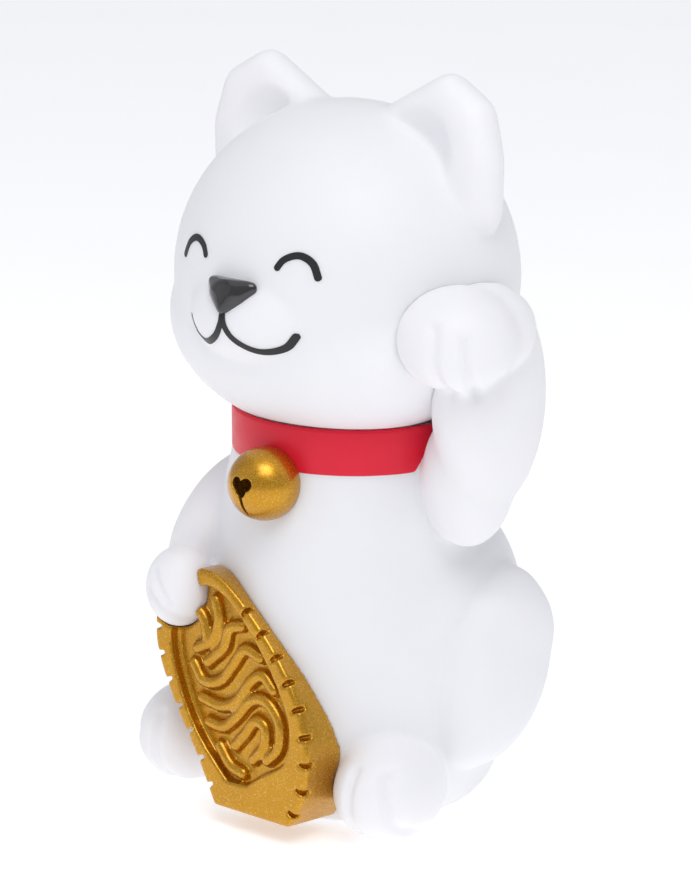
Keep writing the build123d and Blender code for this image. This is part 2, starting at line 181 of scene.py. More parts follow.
def turnedForm(profile, name):
    # a turned solid, drawn up ring by ring from its (radius, z) profile
    (firstRadius, firstZ), (secondRadius, secondZ) = profile[:2]
    form = drum(firstRadius, firstZ, secondZ, name=name)
    editFaces(form, lambda face: face.center.z > (secondZ - 0.01) * mm)
    ratio = secondRadius / firstRadius
    bpy.ops.transform.resize(value=(ratio, ratio, 1), center_override=place(0, 0, secondZ))
    for (radius, z), (nextRadius, nextZ) in zip(profile[1:], profile[2:]):
        bpy.ops.mesh.extrude_region_move(TRANSFORM_OT_translate={"value": place(0, 0, nextZ - z)})
        ratio = nextRadius / radius
        bpy.ops.transform.resize(value=(ratio, ratio, 1), center_override=place(0, 0, nextZ))
    bpy.ops.object.mode_set(mode="OBJECT")
    return form


def readPoints(piece):
    points = np.empty(len(piece.data.vertices) * 3, np.float32)
    piece.data.vertices.foreach_get("co", points)
    normals = np.empty_like(points)
    piece.data.vertex_normals.foreach_get("vector", normals)
    return points.reshape(-1, 3).astype(float) / mm, normals.reshape(-1, 3).astype(float)


def writePoints(piece, points):
    piece.data.vertices.foreach_set("co", (points * mm).astype(np.float32).ravel())
    piece.data.update()


def pathDistance(flat, path):
    # how far each flat point lies from a line of points
    nearest = np.full(len(flat), 1e9)
    for start, end in zip(path, path[1:]):
        start, run = np.array(start, float), np.array(end, float) - np.array(start, float)
        along = np.clip((flat - start) @ run / (run @ run), 0, 1)
        nearest = np.minimum(nearest, np.linalg.norm(flat - start - along[:, None] * run, axis=1))
    return nearest


def pressCreases(piece, lines, depth, width, middle, reach, heading=0):
    # soft creases along lines of (across, z) points seen from a heading, within reach of the middle
    for line in lines:
        points, normals = readPoints(piece)
        across = points[:, 0] * cos(radians(heading)) + points[:, 1] * sin(radians(heading))
        away = pathDistance(np.column_stack([across, points[:, 2]]), line)
        inside = np.clip((reach - np.linalg.norm(points - np.array(middle), axis=1)) / 2, 0, 1)
        points -= normals * (depth * np.exp(-(away / width) ** 2) * inside)[:, None]
        writePoints(piece, points)


def mirrored(line):
    return [(-x, z) for x, z in line]


def finished(piece, body, slotName, *nodes, angle=35):
    smoothShade(piece, angle)
    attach(piece, body)
    if nodes:
        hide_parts(*nodes)
    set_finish(piece, slotName)
    return piece


# camera, light and floor

view = dict(azimuth=40.5, elevation=15.2, distance=690, aim=(0, -3, 71), lens=142.05)


def makeCamera():
    turn, rise = radians(view["azimuth"]), radians(view["elevation"])
    back = (sin(turn) * cos(rise), -cos(turn) * cos(rise), sin(rise))
    spot = place(*(middle + view["distance"] * part for middle, part in zip(view["aim"], back)))
    bpy.ops.object.camera_add(location=spot, rotation=(pi / 2 - rise, 0, turn))
    camera = bpy.context.object
    camera.name = "studioCamera"
    camera.data.lens = view["lens"]
    camera.data.clip_start = 0.01
    bpy.context.scene.camera = camera


# each softbox: (azimuth, elevation, distance, size, power), aimed at the figure's middle, in metres
studio = dict(
    key=(48, 58, 0.75, 0.45, 2.1),
    fill=(-35, 25, 0.85, 0.70, 0.3),
    top=(20, 85, 0.80, 0.80, 0.7),
    worldStrength=0.52,
    floorGlow=0.42, aimHeight=0.07,
)


def makeLights():
    for name in ("key", "fill", "top"):
        azimuth, elevation, distance, size, power = studio[name]
        turn, rise = radians(azimuth), radians(elevation)
        spot = (distance * sin(turn) * cos(rise), -distance * cos(turn) * cos(rise),
                studio["aimHeight"] + distance * sin(rise))
        bpy.ops.object.light_add(type="AREA", location=spot, rotation=(pi / 2 - rise, 0, turn))
        lamp = bpy.context.object
        lamp.name = name + "Softbox"
        lamp.data.size = size
        lamp.data.energy = power
    world = bpy.data.worlds.new("paleStudio")
    world.use_nodes = True
    background = world.node_tree.nodes["Background"]
    background.inputs["Color"].default_value = (0.94, 0.95, 1, 1)
    background.inputs["Strength"].default_value = studio["worldStrength"]
    bpy.context.scene.world = world
    bpy.context.scene.view_settings.view_transform = "Standard"


# materials

class Wire:
    # a node's output that takes part in sums
    def __init__(self, finish, socket):
        self.finish = finish
        self.socket = socket

    def sum(self, operation, first, second):
        return self.finish.node("ShaderNodeMath", {"operation": operation}, {0: first, 1: second})

    def __add__(self, other):
        return self.sum("ADD", self, other)

    def __mul__(self, other):
        return self.sum("MULTIPLY", self, other)

    __radd__ = __add__
    __rmul__ = __mul__


class Finish:
    # one material with its shader; node() adds any node, with its settings first
    def __init__(self, name, **constants):
        self.material = bpy.data.materials.new(name)
        self.material.use_nodes = True
        self.tree = self.material.node_tree
        self.shader = self.tree.nodes["Principled BSDF"]
        for socket, value in constants.items():
            self.shader.inputs[socket.replace("_", " ")].default_value = value
        self.spot = self.node("ShaderNodeTexCoord", {}, {}, "Object")

    def node(self, kind, settings, inputs, output=0):
        made = self.tree.nodes.new(kind)
        for setting, value in settings.items():
            setattr(made, setting, value)
        self.feed(made, inputs)
        return Wire(self, made.outputs[output])

    def feed(self, target, inputs):
        for key, value in inputs.items():
            if isinstance(value, Wire):
                self.tree.links.new(value.socket, target.inputs[key])
            else:
                target.inputs[key].default_value = value

    def noise(self, size, detail=2.0, roughness=0.5):
        # size is the width of a typical patch, in millimetres
        return self.node("ShaderNodeTexNoise", {},
                         {"Vector": self.spot, "Scale": 1 / (size * mm), "Detail": detail,
                          "Roughness": roughness})

    def cells(self, size):
        # every cell has its own random colour
        return self.node("ShaderNodeTexVoronoi", {}, {"Vector": self.spot, "Scale": 1 / (size * mm)},
                         "Color")

    def spread(self, wire, low, high, newLow, newHigh):
        return self.node("ShaderNodeMapRange", {},
                         {"Value": wire, "From Min": low, "From Max": high, "To Min": newLow,
                          "To Max": newHigh})

    def mix(self, factor, first, second):
        return self.node("ShaderNodeMix", {"data_type": "RGBA"}, {0: factor, 6: first, 7: second}, 2)

    def wear(self, **inputs):
        # what varies over the surface, by the shader's own socket names
        self.feed(self.shader, {socket.replace("_", " "): wire for socket, wire in inputs.items()})
        return self.material

    def bump(self, height, depth, strength=1.0):
        # depth is the relief of a height of 1, in millimetres
        return self.node("ShaderNodeBump", {},
                         {"Strength": strength, "Distance": depth * mm, "Height": height}, "Normal")


def rgb(red, green, blue):
    return (red, green, blue, 1.0)


def vinylFinish():
    # soft matt vinyl that lets a little light in, with a very fine satin grain
    finish = Finish("whiteVinyl", Subsurface_Weight=0.35, Subsurface_Radius=(1.0, 0.85, 0.8),
                    Subsurface_Scale=0.004, Specular_IOR_Level=0.45, Sheen_Weight=0.08)
    clouds = finish.noise(18, 3)
    grain = finish.noise(0.22, 3, 0.6)
    colour = finish.mix(clouds, rgb(0.87, 0.87, 0.895), rgb(0.91, 0.905, 0.925))
    roughness = finish.spread(finish.noise(6, 3), 0.3, 0.7, 0.46, 0.56)
    return finish.wear(Base_Color=colour, Roughness=roughness, Normal=finish.bump(grain, 0.018, 0.5))


def goldPaintFinish(name, grain, flakes):
    # metallic gold paint with tiny flakes: the brightest random flake cells are painted pale gold as
    # painted glints, and the base colour varies in faint clouds
    finish = Finish(name, Specular_IOR_Level=0.5, Coat_Roughness=0.14)
    tone = finish.node("ShaderNodeSeparateColor", {}, {"Color": finish.cells(flakes)}, "Red")
    # painted glints: the top of the random flake tone marks the flakes that are painted as catching the
    # light
    paintedGlint = finish.spread(tone, 0.86, 1.0, 0.0, 1.0)
    clouds = finish.noise(7, 3)
    base = finish.mix(clouds, rgb(0.49, 0.225, 0.004), rgb(0.60, 0.30, 0.010))
    # the base colour turns towards pale gold in the painted glints
    colour = finish.mix(paintedGlint * 0.5, base, rgb(0.95, 0.66, 0.18))
    roughness = finish.spread(tone, 0.0, 1.0, 0.25, 0.38)
    relief = finish.bump(tone * 0.5 + finish.noise(grain, 3) * 0.6, 0.03, 0.45)
    return finish.wear(Base_Color=colour, Roughness=roughness, Normal=relief,
                       Metallic=finish.spread(clouds, 0.2, 0.8, 0.82, 0.92),
                       Coat_Weight=finish.spread(tone, 0.0, 1.0, 0.35, 0.5))


def redBandFinish():
    finish = Finish("redBand", Specular_IOR_Level=0.3, Coat_Roughness=0.2)
    clouds = finish.noise(5, 3)
    colour = finish.mix(clouds, rgb(0.70, 0.006, 0.028), rgb(0.80, 0.010, 0.038))
    roughness = finish.spread(finish.noise(2.5, 3), 0.3, 0.7, 0.34, 0.44)
    return finish.wear(Base_Color=colour, Roughness=roughness,
                       Coat_Weight=finish.spread(clouds, 0.2, 0.8, 0.04, 0.12),
                       Normal=finish.bump(finish.noise(0.5, 3), 0.02, 0.4))


def glossBlackFinish():
    finish = Finish("noseGloss", Specular_IOR_Level=0.6, Coat_Roughness=0.05)
    clouds = finish.noise(2, 2)
    colour = finish.mix(clouds, rgb(0.006, 0.006, 0.008), rgb(0.014, 0.013, 0.015))
    return finish.wear(Base_Color=colour, Roughness=finish.spread(clouds, 0.2, 0.8, 0.10, 0.18),
                       Coat_Weight=finish.spread(clouds, 0.2, 0.8, 0.5, 0.7),
                       Normal=finish.bump(finish.noise(1.2, 2), 0.01, 0.4))


def inkFinish():
    finish = Finish("printedInk", Specular_IOR_Level=0.4)
    mottle = finish.noise(0.35, 3)
    colour = finish.mix(mottle, rgb(0.010, 0.010, 0.012), rgb(0.022, 0.021, 0.024))
    return finish.wear(Base_Color=colour, Roughness=finish.spread(mottle, 0.2, 0.8, 0.38, 0.52),
                       Normal=finish.bump(mottle, 0.01, 0.4))


def mouldedFinish(name, dark, light, roughness=0.5, grain=0.25, depth=0.012, **constants):
    # moulded plastic: a spark-eroded grain and faint flow clouds
    finish = Finish(name, **constants)
    clouds = finish.noise(9, 3)
    texture = finish.noise(grain, 4, 0.65)
    return finish.wear(Base_Color=finish.mix(clouds, rgb(*dark), rgb(*light)),
                       Roughness=finish.spread(texture, 0.3, 0.7, roughness - 0.06, roughness + 0.06),
                       Normal=finish.bump(texture, depth, 0.7))


def metalFinish(name, dark, light, roughness=0.3, scratch=0.6):
    # plated or drawn metal: fine scratches and a little dulling
    finish = Finish(name, Specular_IOR_Level=0.5)
    stretched = finish.node("ShaderNodeMapping", {}, {"Vector": finish.spot, "Scale": (1, 1, 14)})
    lines = finish.node("ShaderNodeTexNoise", {},
                        {"Vector": stretched, "Scale": 1 / (scratch * mm), "Detail": 4.0})
    dull = finish.noise(2.2, 3)
    return finish.wear(Base_Color=finish.mix(dull, rgb(*dark), rgb(*light)),
                       Metallic=finish.spread(dull, 0.2, 0.8, 0.92, 1.0),
                       Roughness=finish.spread(lines, 0.3, 0.7, roughness - 0.07, roughness + 0.1),
                       Normal=finish.bump(lines, 0.006, 0.4))


def boardFinish():
    # green solder mask over the shadow of copper tracks
    finish = Finish("solderMask", Specular_IOR_Level=0.5)
    tracks = finish.node("ShaderNodeTexBrick", {"offset": 0.5},
                         {"Vector": finish.spot, "Scale": 1 / (3.2 * mm), "Mortar Size": 0.06,
                          "Color1": rgb(0, 0, 0), "Color2": rgb(0, 0, 0), "Mortar": rgb(1, 1, 1)}, "Fac")
    colour = finish.mix(tracks, rgb(0.010, 0.105, 0.042), rgb(0.022, 0.19, 0.07))
    roughness = finish.spread(finish.noise(1.5), 0.3, 0.7, 0.2, 0.32)
    return finish.wear(Base_Color=colour, Roughness=roughness,
                       Normal=finish.bump(tracks, 0.03, 0.6))


def frostedFinish():
    # frosted diffuser: milky, with a fine blasted grain
    finish = Finish("frostedDome", Subsurface_Weight=0.6, Subsurface_Radius=(1, 0.95, 0.85),
                    Subsurface_Scale=0.003)
    grain = finish.noise(0.3, 4, 0.7)
    colour = finish.mix(finish.noise(5), rgb(0.86, 0.84, 0.78), rgb(0.92, 0.90, 0.85))
    return finish.wear(Base_Color=colour,
                       Roughness=finish.spread(grain, 0.3, 0.7, 0.42, 0.58),
                       Normal=finish.bump(grain, 0.02, 0.7))


def rubberFinish():
    finish = Finish("footRubber", Specular_IOR_Level=0.3)
    dust = finish.noise(1.4, 4, 0.7)
    return finish.wear(Base_Color=finish.mix(dust, rgb(0.022, 0.022, 0.024), rgb(0.06, 0.058, 0.056)),
                       Roughness=finish.spread(dust, 0.3, 0.7, 0.72, 0.9),
                       Normal=finish.bump(finish.noise(0.3, 3), 0.02, 0.6))


print("making the materials")
finishes = {
    "white_vinyl": vinylFinish(),
    "red_band": redBandFinish(),
    "bell_gold": goldPaintFinish("bellGold", 0.6, 0.16),
    "coin_gold": goldPaintFinish("coinGold", 0.9, 0.2),
    "nose_gloss": glossBlackFinish(),
    "black_ink": inkFinish(),
    "bell_steel": metalFinish("peaSteel", (0.45, 0.45, 0.46), (0.6, 0.6, 0.6), 0.25),
    "case_plastic": mouldedFinish("casePlastic", (0.74, 0.74, 0.72), (0.80, 0.80, 0.785), 0.5),
    "door_plastic": mouldedFinish("doorPlastic", (0.70, 0.70, 0.69), (0.77, 0.77, 0.755), 0.52),
    "foot_rubber": rubberFinish(),
    "frosted_dome": frostedFinish(),
    "contact_metal": metalFinish("contactNickel", (0.55, 0.54, 0.50), (0.72, 0.70, 0.66), 0.24, 0.4),
    "screw_steel": metalFinish("screwZinc", (0.46, 0.47, 0.49), (0.62, 0.63, 0.64), 0.32, 0.3),
    "switch_metal": metalFinish("switchCan", (0.50, 0.50, 0.50), (0.64, 0.64, 0.64), 0.3, 0.5),
    "cell_steel": metalFinish("cellNickel", (0.56, 0.56, 0.55), (0.72, 0.72, 0.70), 0.2, 0.8),
    "board_green": boardFinish(),
    "led_resin": mouldedFinish("ledResin", (0.80, 0.74, 0.42), (0.88, 0.84, 0.60), 0.14, 1.2, 0.006,
                               Transmission_Weight=0.25),
    "chip_black": mouldedFinish("chipBlack", (0.014, 0.014, 0.015), (0.03, 0.03, 0.032), 0.6, 0.15),
    "knob_black": mouldedFinish("knobBlack", (0.012, 0.012, 0.013), (0.026, 0.026, 0.027), 0.45),
    "red_lead": mouldedFinish("redLead", (0.40, 0.012, 0.012), (0.52, 0.02, 0.02), 0.36, 0.4),
    "black_lead": mouldedFinish("blackLead", (0.010, 0.010, 0.010), (0.022, 0.022, 0.022), 0.36, 0.4),
}


# the white vinyl forms: (middle), (half widths), (tilt), on +X, the side of the raised arm
torso = dict(
    profile=[(25, 0.3), (27.2, 3), (29, 7), (30.6, 13), (31.5, 20), (31.6, 28), (30.9, 36),
             (29.6, 44), (28.4, 50), (26.8, 58), (25.2, 66), (24, 72)],
    wall=2.2, socket=(22.9, -2, 12), soleZ=0.3, roomFloor=10,
)
neck = dict(radius=22.9, bore=20.4, top=79.8)
limbs = dict(
    flank=((3.5, 3, 38), (29, 28.5, 28), (0, 0, 0)),
    haunch=((29.5, 7.5, 35.5), (10.8, 13.5, 13), (0, 0, 0)),
    thigh=((29.8, 5, 29.5), (10.6, 14.5, 20.5), (-24, 0, 0)),
    foot=((26, -20, 10.2), (10.2, 12.5, 10.2), (0, 0, 0)),
    raisedShoulder=((31, -3, 70), (8.8, 9.5, 14), (0, 0, 0)),
    raisedArm=((35, -2, 86), (9, 13.5, 22.5), (0, 0, 0)),
    raisedWrist=((37.2, -6.5, 100.3), (9.6, 10.5, 9), (0, 0, 0)),
    raisedPaw=((37, -14, 100), (11.5, 12, 10), (0, 0, 0)),
    loweredArm=((-23, -15, 54), (7, 8, 16.5), (-48, 0, 0)),
    loweredPaw=((-18.8, -31, 44.5), (6.8, 7, 8.2), (0, 0, 0)),
    voxel=0.65, softening=26, contactGap=0.15,
)
head = dict(
    skull=((0, -2.5, 105.5), (34.7, 32.6, 33.9), (0, 0, 0)),
    muzzle=((0, -25, 102), (16, 13.8, 11), (0, 0, 0)),
    cheeks=((0, -6.5, 97.3), (35.3, 27.5, 22.6), (0, 0, 0)),
    earBalls=[(22.8, 1, 142.2, 4.3), (28.4, 0.5, 138.4, 4.8), (30.4, 0, 131, 4.9), (9, 0, 133, 5.5),
              (30.2, 0, 121, 4.9), (18, 0, 122, 7)],
    earScoop=((18.2, -8.4, 131.5), (10.5, 6.8, 12.4), (0, 22, 0)),
    voxel=0.62, softening=24, wall=2.2, plugRadius=20.3, plugBore=18.5, plugBottom=72.5,
)
toeLines = [[(25.3, 0), (25.3, 9), (25.44, 16)], [(33, 0), (33, 9), (31.6, 16)]]
creases = [
    dict(lines=[mirrored(line) for line in toeLines], depth=1.1, width=0.95, middle=(-28, -29, 7),
         reach=12),
    dict(lines=toeLines, depth=1.1, width=0.95, middle=(28, -29, 7), reach=12),
    # fingers of the lowered paw, then of the raised one
    dict(lines=[[(-20.5, 48.5), (-18.6, 46.5), (-16.2, 43.0)],
                [(-21.5, 44.5), (-19.0, 42.0), (-14.6, 38.6)]],
         depth=0.8, width=0.8, middle=(-18.8, -36, 43), reach=8.5),
    dict(lines=[[(14.3, 104), (14.0, 97), (15.5, 92.5), (18.1, 89.5)],
                [(20.1, 102), (20.4, 96), (21.5, 92), (23.0, 89)]],
         depth=1.0, width=1.0, middle=(40, -21, 96), reach=12, heading=40.5),
]


def makeBody():
    print("modelling the body")
    trunk = turnedForm(torso["profile"], "trunk")
    forms = [trunk, drum(neck["radius"], 60, neck["top"])]
    for name in ("flank", "haunch", "thigh", "foot"):
        forms += eggPair(limbs[name])
    for name in ("raisedShoulder", "raisedArm", "raisedWrist", "raisedPaw", "loweredArm", "loweredPaw"):
        forms.append(egg(limbs[name]))
    body = fuse(forms, "bodyVinyl", limbs["voxel"], limbs["softening"])
    for crease in creases:
        pressCreases(body, **crease)
    # the head stands clear of the arm
    headRoom = [egg(head[name], limbs["contactGap"]) for name in ("skull", "cheeks")]
    combine(body, fuse(headRoom, "headRoom", 0.9, 2))
    # the trunk is hollow, and open below for the light unit
    room = [(radius - torso["wall"], z) for radius, z in torso["profile"][3:-1]]
    hollow = [turnedForm([(room[0][0] - 3, torso["roomFloor"])] + room, "trunkRoom"),
              drum(neck["bore"], 60, 90), *eggPair(limbs["thigh"], -torso["wall"])]
    combine(body, fuse(hollow, "hollow", 1.0, 3))
    combine(body, drum(*torso["socket"]))
    combine(body, drum(60, -20, torso["soleZ"]))
    return finished(body, "cat", "white_vinyl", "body_shell", angle=50)


def makeEar(onRight):
    # a rounded triangle with its tip outwards, scooped out in front
    balls = [egg(((x, y, z), (radius, radius, radius), (0, 0, 0)), mirrored=onRight, segments=32)
             for x, y, z, radius in head["earBalls"]]
    ear = wrap(balls, "ear")
    return combine(ear, egg(head["earScoop"], mirrored=onRight))


def makeHead():
    print("modelling the head")
    forms = [egg(head[name]) for name in ("skull", "cheeks", "muzzle")]
    shell = fuse(forms + [makeEar(False), makeEar(True)], "headVinyl", head["voxel"], head["softening"])
    combine(shell, drum(60, 40, neck["top"] + 0.05))
    room = egg(head["skull"], -head["wall"])
    combine(room, drum(60, 40, neck["top"] + head["wall"]))
    combine(shell, room)
    combine(shell, drum(head["plugBore"], 70, 92))
    # the plug stands in the neck
    plug = drum(head["plugRadius"], head["plugBottom"], neck["top"] + 0.5)
    combine(plug, drum(head["plugBore"], 70, 92))
    combine(shell, plug, "UNION")
    return finished(shell, "cat", "white_vinyl", "head_shell", angle=50)


makeCamera()
makeLights()
bodyVinyl = makeBody()
headVinyl = makeHead()


# collar: a band with rounded edges, open where the raised shoulder is
collar = dict(low=70.2, high=79.5, radius=24.4, gapY=(-8.0, 12.0), rounding=0.7, endRounding=0.45)


def makeCollar():
    print("modelling the collar")
    inner = neck["radius"] + 0.05
    thick, tall = collar["radius"] - inner, collar["high"] - collar["low"]
    endAngle, startAngle = (asin(y / collar["radius"]) for y in collar["gapY"])
    deselectAll()
    bpy.ops.mesh.primitive_plane_add(
        size=mm, location=place(inner + thick / 2, 0, (collar["low"] + collar["high"]) / 2),
        rotation=(pi / 2, 0, 0))
    band = bpy.context.object
    band.scale = (thick, tall, 1)
    band = settle("collarBand")
    bpy.ops.object.mode_set(mode="EDIT")
    bpy.ops.mesh.select_all(action="SELECT")
    bpy.ops.mesh.bevel(offset=collar["rounding"] * mm, segments=5, affect="VERTICES")
    bpy.ops.mesh.select_all(action="SELECT")
    bpy.ops.mesh.spin(steps=150, angle=2 * pi - (startAngle - endAngle), center=(0, 0, 0),
                      axis=(0, 0, 1))
    bpy.ops.mesh.select_all(action="SELECT")
    bpy.ops.mesh.normals_make_consistent(inside=False)
    bpy.ops.object.mode_set(mode="OBJECT")
    # turned about the neck so that the opening faces the shoulder
    band.rotation_euler = (0, 0, startAngle)
    settle("collarBand")
    modify(band, "BEVEL", width=collar["endRounding"] * mm, segments=4, limit_method="ANGLE",
           angle_limit=radians(60))
    return finished(band, "cat", "red_band", "collar")


makeCollar()


# bell: hollow, with a three-lobed opening in front and a slit that runs under it
bell = dict(
    middle=(0, -27, 68), radius=7.2, wall=0.8, backY=-23.0,
    lobes=((-1.15, 1.3), (1.15, 1.3), (0, 0)), lobeRadius=1.25, slit=(0.75, 9.4, 9.0), voxel=0.2,
)


def makeBell():
    print("modelling the bell")
    x, y, z = bell["middle"]
    form = ((x, y, z), (1, 1, 1), (90, 0, 0))
    ball = egg(form, bell["radius"] - 1, segments=72)
    combine(ball, egg(form, bell["radius"] - bell["wall"] - 1, segments=48))
    cutters = []
    for offsetX, offsetZ in bell["lobes"]:
        deselectAll()
        bpy.ops.mesh.primitive_cylinder_add(
            vertices=32, radius=bell["lobeRadius"] * mm, depth=8 * mm, rotation=(pi / 2, 0, 0),
            location=place(x + offsetX, y - 6, z + offsetZ))
        cutters.append(settle("lobe"))
    cutters.append(box(bell["slit"], (x, y - 4.2, z - 4.5), "slit"))
    combine(ball, fuse(cutters, "opening", 0.16, 2))
    combine(ball, box((40, 40, 40), (x, bell["backY"] + 20, z), "backCut"))
    modify(ball, "REMESH", mode="VOXEL", voxel_size=bell["voxel"] * mm)
    modify(ball, "SMOOTH", factor=0.5, iterations=4)
    ball.name = "jingleBell"
    return finished(ball, "cat", "bell_gold", "bell", angle=60)


makeBell()


# nose: a rounded triangle, pillowed, pressed onto the muzzle
nose = dict(corners=[(-4.7, 108.5, 1.4), (4.7, 108.5, 1.4), (0, 104.5, 1.2)], crown=(0, 107.1),
            crownSize=(4.3, 2.0, 3.0), voxel=0.24, softening=36)


def surfaceY(x, z):
    # front of the muzzle and skull at (x, z)
    fronts = []
    for name in ("muzzle", "skull", "cheeks"):
        (mx, my, mz), (a, b, c), _ = head[name]
        left = 1 - ((x - mx) / a) ** 2 - ((z - mz) / c) ** 2
        if left > 0:
            fronts.append(my - b * left ** 0.5)
    return min(fronts)


def makeNose():
    print("modelling the nose")
    balls = []
    for x, z, radius in nose["corners"]:
        balls.append(egg(((x, surfaceY(x, z) - 0.2, z), (radius, 1.0, radius), (0, 0, 0)), segments=24))
    x, z = nose["crown"]
    balls.append(egg(((x, surfaceY(x, z) + 0.1, z), nose["crownSize"], (0, 0, 0)), segments=32))
    button = wrap(balls, "noseButton")
    modify(button, "REMESH", mode="VOXEL", voxel_size=nose["voxel"] * mm)
    modify(button, "SMOOTH", factor=0.5, iterations=nose["softening"])
    return finished(button, "cat", "nose_gloss", "nose", angle=80)


makeNose()


# printed lines: smooth strips laid on the head, (x, z) seen from the front
prints = dict(
    eye=[(8.7, 112.2), (10.2, 114.3), (12.9, 115.2), (15.5, 113.9), (17.0, 110.8)],
    smile=[(0, 104.2), (0.5, 101.4), (2.6, 98.6), (6.8, 96.7), (11.2, 97.7), (13.6, 100.6)],
    width=1.3, thickness=0.12,
)


def smoothLine(points, count):
    # a Catmull-Rom line through the points, evenly spaced
    knots = [np.array(point, float) for point in points]
    knots = [2 * knots[0] - knots[1], *knots, 2 * knots[-1] - knots[-2]]
    fine = []
    for a, b, c, d in zip(knots, knots[1:], knots[2:], knots[3:]):
        for t in np.linspace(0, 1, 24, endpoint=False):
            fine.append(0.5 * (2 * b + (c - a) * t + (2 * a - 5 * b + 4 * c - d) * t ** 2
                               + (3 * b - a - 3 * c + d) * t ** 3))
    fine = np.array(fine + [knots[-2]])
    run = np.concatenate([[0], np.cumsum(np.linalg.norm(np.diff(fine, axis=0), axis=1))])
    even = np.linspace(0, run[-1], count)
    return np.column_stack([np.interp(even, run, fine[:, axis]) for axis in range(fine.shape[1])])


def makePrint(name, node, points):
    along, across = 90, 9
    line = smoothLine(points, along)
    deselectAll()
    bpy.ops.mesh.primitive_grid_add(x_subdivisions=along - 1, y_subdivisions=across - 1, size=1)
    strip = settle(name)
    half = prints["width"] / 2
    length = np.linalg.norm(np.diff(line, axis=0), axis=1).sum()
    direction = np.gradient(line, axis=0)
    direction /= np.linalg.norm(direction, axis=1)[:, None]
    flat, _ = readPoints(strip)
    u = np.rint((flat[:, 0] / 1000 + 0.5) * (along - 1)).astype(int)
    v = flat[:, 1] / 500
    nearEnd = np.minimum(u, along - 1 - u) / (along - 1) * length
    girth = half * np.sqrt(np.clip(1 - (1 - np.clip(nearEnd / half, 0, 1)) ** 2, 0.0004, 1))
    x = line[u, 0] - direction[u, 1] * v * girth
    z = line[u, 1] + direction[u, 0] * v * girth
    writePoints(strip, np.column_stack([x, np.full(len(x), -60.0), z]))
    modify(strip, "SHRINKWRAP", target=headVinyl, wrap_method="PROJECT", use_project_x=False,
           use_project_y=True, use_project_z=False, use_negative_direction=False,
           use_positive_direction=True, offset=0.03 * mm)
    pick(strip)
    bpy.ops.object.mode_set(mode="EDIT")
    bpy.ops.mesh.select_all(action="SELECT")
    bpy.ops.mesh.normals_make_consistent(inside=False)
    bpy.ops.object.mode_set(mode="OBJECT")
    _, normals = readPoints(strip)
    if normals[:, 1].mean() > 0:
        pick(strip)
        bpy.ops.object.mode_set(mode="EDIT")
        bpy.ops.mesh.flip_normals()
        bpy.ops.object.mode_set(mode="OBJECT")
    modify(strip, "SOLIDIFY", thickness=prints["thickness"] * mm, offset=0.2)
    return finished(strip, "cat", "black_ink", node, angle=60)


print("printing the face")
makePrint("eyeInkLeft", "eye_print_left", prints["eye"])
makePrint("eyeInkRight", "eye_print_right", mirrored(prints["eye"]))
makePrint("mouthInkLeft", "mouth_print", prints["smile"])
makePrint("mouthInkRight", "mouth_print", mirrored(prints["smile"]))


# coin: a thick slanted oval that leans back on the belly, drawn standing and then leant
coin = dict(
    footY=-37.5, lean=5.7, depth=22.0, fieldDepth=2.4, edgeRound=2.0,
    outline=[(-5.0, 3.8), (-10.4, 12.6), (-18.0, 23.4), (-22.8, 33.4), (-22.4, 42.2), (-16.2, 48.6),
             (-7.6, 49.4), (3.9, 41.4), (13.0, 31.4), (17.9, 20.4), (17.5, 10.4), (14.4, 3.8)],
    field=[(-2.0, 9.4), (-10.2, 17.2), (-15.8, 26.0), (-18.8, 35.0), (-17.2, 42.0), (-11.5, 46.6),
           (-5.4, 45.6), (2.1, 39.4), (8.9, 31.2), (12.9, 23.5), (12.4, 16.5), (7.0, 12.6), (3.0, 9.6)],
    strokeRadius=1.3, strokeLift=0.8, voxel=0.3,
    notchPitch=5.6, notch=(0.55, 1.5, 2.6),
)
# generic waves and loops in the sunk field, as (x, z)
coinStrokes = [
    [(-14.8, 42.6), (-11.6, 40.2), (-10.2, 36.6)],
    [(-8.6, 44.2), (-7.4, 40.6), (-8.6, 36.4), (-12.6, 33.8)],
    [(-1.6, 40.4), (-4.6, 39.2), (-5.6, 35.4), (-9.6, 31.6)],
    [(3.6, 35.2), (-0.2, 36.0), (-2.8, 32.6), (-6.0, 28.6), (-10.4, 27.6), (-13.2, 30.6)],
    [(7.6, 29.6), (4.6, 31.8), (1.6, 29.8), (-1.6, 25.4), (-5.6, 23.6), (-10.6, 24.2)],
    [(-8.4, 19.8), (-4.6, 19.6), (-1.4, 22.2), (2.4, 26.4), (6.2, 26.8), (9.6, 23.4), (9.9, 18.6),
     (7.2, 15.4)],
    [(3.6, 14.8), (6.2, 18.0), (6.0, 21.8), (3.4, 22.4), (1.2, 19.4), (-1.2, 16.6)],
    [(-5.2, 15.6), (-2.2, 12.4), (1.0, 11.4)],
]


def outlinePiece(points, name, front, back):
    # a smooth closed outline with a straight foot, made a face and drawn back
    line = smoothLine(points, 150)
    deselectAll()
    bpy.ops.mesh.primitive_circle_add(vertices=len(line), radius=mm, fill_type="NGON")
    slab = settle(name)
    writePoints(slab, np.column_stack([line[:, 0], np.full(len(line), front), line[:, 1]]))
    pick(slab)
    bpy.ops.object.mode_set(mode="EDIT")
    bpy.ops.mesh.select_all(action="SELECT")
    bpy.ops.mesh.extrude_region_move(TRANSFORM_OT_translate={"value": place(0, back - front, 0)})
    bpy.ops.mesh.select_all(action="SELECT")
    bpy.ops.mesh.normals_make_consistent(inside=False)
    bpy.ops.object.mode_set(mode="OBJECT")
    return slab


